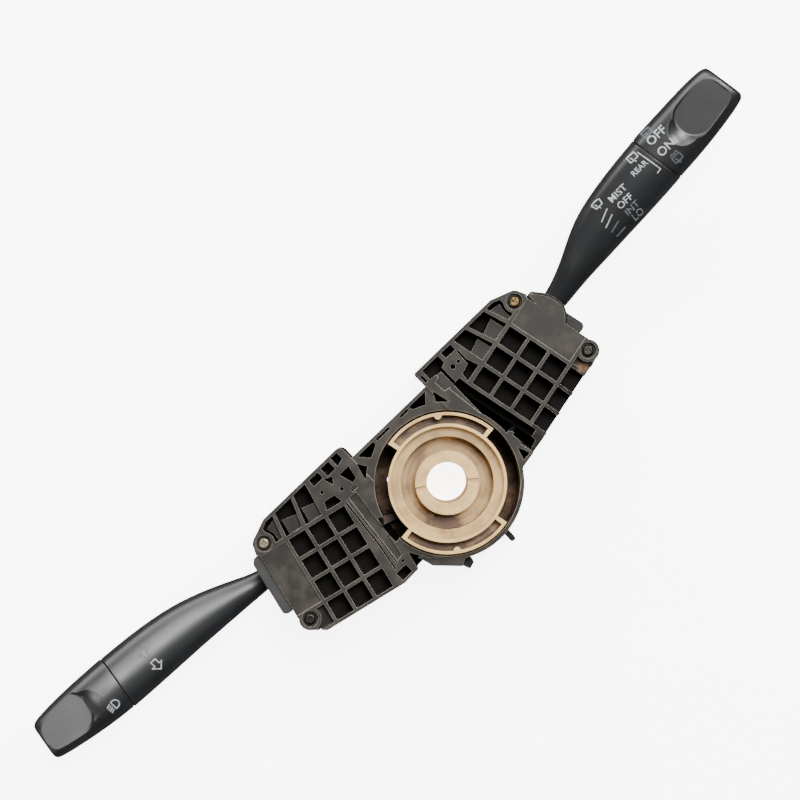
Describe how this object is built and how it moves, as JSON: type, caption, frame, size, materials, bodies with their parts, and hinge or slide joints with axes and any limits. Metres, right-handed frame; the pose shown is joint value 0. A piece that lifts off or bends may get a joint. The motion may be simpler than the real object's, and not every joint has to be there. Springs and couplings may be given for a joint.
{
  "type": "combination stalk switch",
  "caption": "Steering column combination switch: light and wiper stalks with turning knobs, two switch modules under a ribbed base and a central cancel sleeve.",
  "frame": {"origin": "on the steering axis, in the plane of the back face", "axes": "+X to the wiper stalk, +Y up, +Z along the column to the driver"},
  "size_m": [0.4071, 0.0902, 0.0441],
  "materials": {
    "base_plastic": "moulded black glass-filled nylon, fine satin grain",
    "sleeve_nylon": "natural beige acetal, smooth moulded",
    "pawl_plastic": "natural acetal",
    "pin_steel": "drawn steel pin",
    "light_case_plastic": "moulded dark grey nylon",
    "wiper_case_plastic": "moulded black nylon",
    "cover_plastic": "moulded black nylon",
    "board_laminate": "phenolic laminate",
    "connector_plastic": "natural grey PBT",
    "terminal_brass": "tinned brass blades",
    "detent_plastic": "natural acetal",
    "light_screw_steel": "zinc plated steel",
    "wiper_screw_steel": "yellow passivated steel",
    "holder_plastic": "grey acetal",
    "plunger_steel": "ground steel",
    "spring_steel": "drawn spring steel",
    "carrier_plastic": "phenolic moulding",
    "bridge_brass": "rolled brass strip",
    "stalk_plastic": "grained black ABS, soft sheen",
    "knob_plastic": "grained black ABS, soft sheen",
    "shaft_plastic": "black acetal"
  },
  "bodies": {
    "housing": {"base_body": "base_plastic", "pawl_pin": "pin_steel", "light_case": "light_case_plastic", "light_back_cover": "cover_plastic", "light_contact_board": "board_laminate", "light_connector": "connector_plastic", "light_terminals": "terminal_brass", "light_detent_plate": "detent_plastic", "light_screws": "light_screw_steel", "wiper_case": "wiper_case_plastic", "wiper_back_cover": "cover_plastic", "wiper_contact_board": "board_laminate", "wiper_connector": "connector_plastic", "wiper_terminals": "terminal_brass", "wiper_detent_plate": "detent_plastic", "wiper_screws": "wiper_screw_steel"},
    "cancel_sleeve": {"cancel_sleeve": "sleeve_nylon"},
    "cancel_pawl": {"cancel_pawl": "pawl_plastic"},
    "light_holder": {"light_holder": "holder_plastic", "light_pivot_pins": "pin_steel", "light_plunger_spring": "spring_steel", "light_contact_carrier": "carrier_plastic", "light_contact_bridges": "bridge_brass"},
    "light_plunger": {"light_plunger": "plunger_steel"},
    "light_lever": {"light_lever": "stalk_plastic"},
    "light_knob": {"light_knob": "knob_plastic", "light_knob_shaft": "shaft_plastic"},
    "wiper_holder": {"wiper_holder": "holder_plastic", "wiper_pivot_pins": "pin_steel", "wiper_plunger_spring": "spring_steel", "wiper_contact_carrier": "carrier_plastic", "wiper_contact_bridges": "bridge_brass"},
    "wiper_plunger": {"wiper_plunger": "plunger_steel"},
    "wiper_lever": {"wiper_lever": "stalk_plastic"},
    "wiper_knob": {"wiper_knob": "knob_plastic", "wiper_knob_shaft": "shaft_plastic"}
  },
  "joints": [
    {"name": "sleeve_turn", "type": "hinge", "parent": "housing", "child": "cancel_sleeve", "pos_m": [0, 0, 0.02], "axis": [0, 0, 1], "continuous": true},
    {"name": "pawl_slide", "type": "slide", "parent": "housing", "child": "cancel_pawl", "axis": [0.9763, -0.2164, 0], "range_m": [0, 0.0016], "stiffness_N_per_m": 100},
    {"name": "light_turn", "type": "hinge", "parent": "housing", "child": "light_holder", "pos_m": [-0.06984, 0.02224, 0.012], "axis": [0, 0, -1], "range_deg": [-12, 12]},
    {"name": "light_detent", "type": "slide", "parent": "light_holder", "child": "light_plunger", "axis": [0.9882, -0.153, 0], "range_m": [0, 0.0006], "stiffness_N_per_m": 300},
    {"name": "light_tilt", "type": "hinge", "parent": "light_holder", "child": "light_lever", "pos_m": [-0.06984, 0.02224, 0.012], "axis": [0.153, 0.9882, 0], "range_deg": [-6, 7]},
    {"name": "light_knob_turn", "type": "hinge", "parent": "light_lever", "child": "light_knob", "pos_m": [-0.06984, 0.02224, 0.012], "axis": [-0.9701, 0.1502, 0.1908], "range_deg": [0, 60]},
    {"name": "wiper_turn", "type": "hinge", "parent": "housing", "child": "wiper_holder", "pos_m": [0.06984, 0.02224, 0.012], "axis": [0, 0, 1], "range_deg": [-21, 7]},
    {"name": "wiper_detent", "type": "slide", "parent": "wiper_holder", "child": "wiper_plunger", "axis": [-0.9866, -0.1633, 0], "range_m": [0, 0.0006], "stiffness_N_per_m": 300},
    {"name": "wiper_tilt", "type": "hinge", "parent": "wiper_holder", "child": "wiper_lever", "pos_m": [0.06984, 0.02224, 0.012], "axis": [0.1633, -0.9866, 0], "range_deg": [0, 8], "stiffness_Nm_per_rad": 0.6, "springref_deg": -8.59},
    {"name": "wiper_knob_turn", "type": "hinge", "parent": "wiper_lever", "child": "wiper_knob", "pos_m": [0.06984, 0.02224, 0.012], "axis": [0.9684, 0.1603, 0.1908], "range_deg": [-25, 50]}
  ]
}
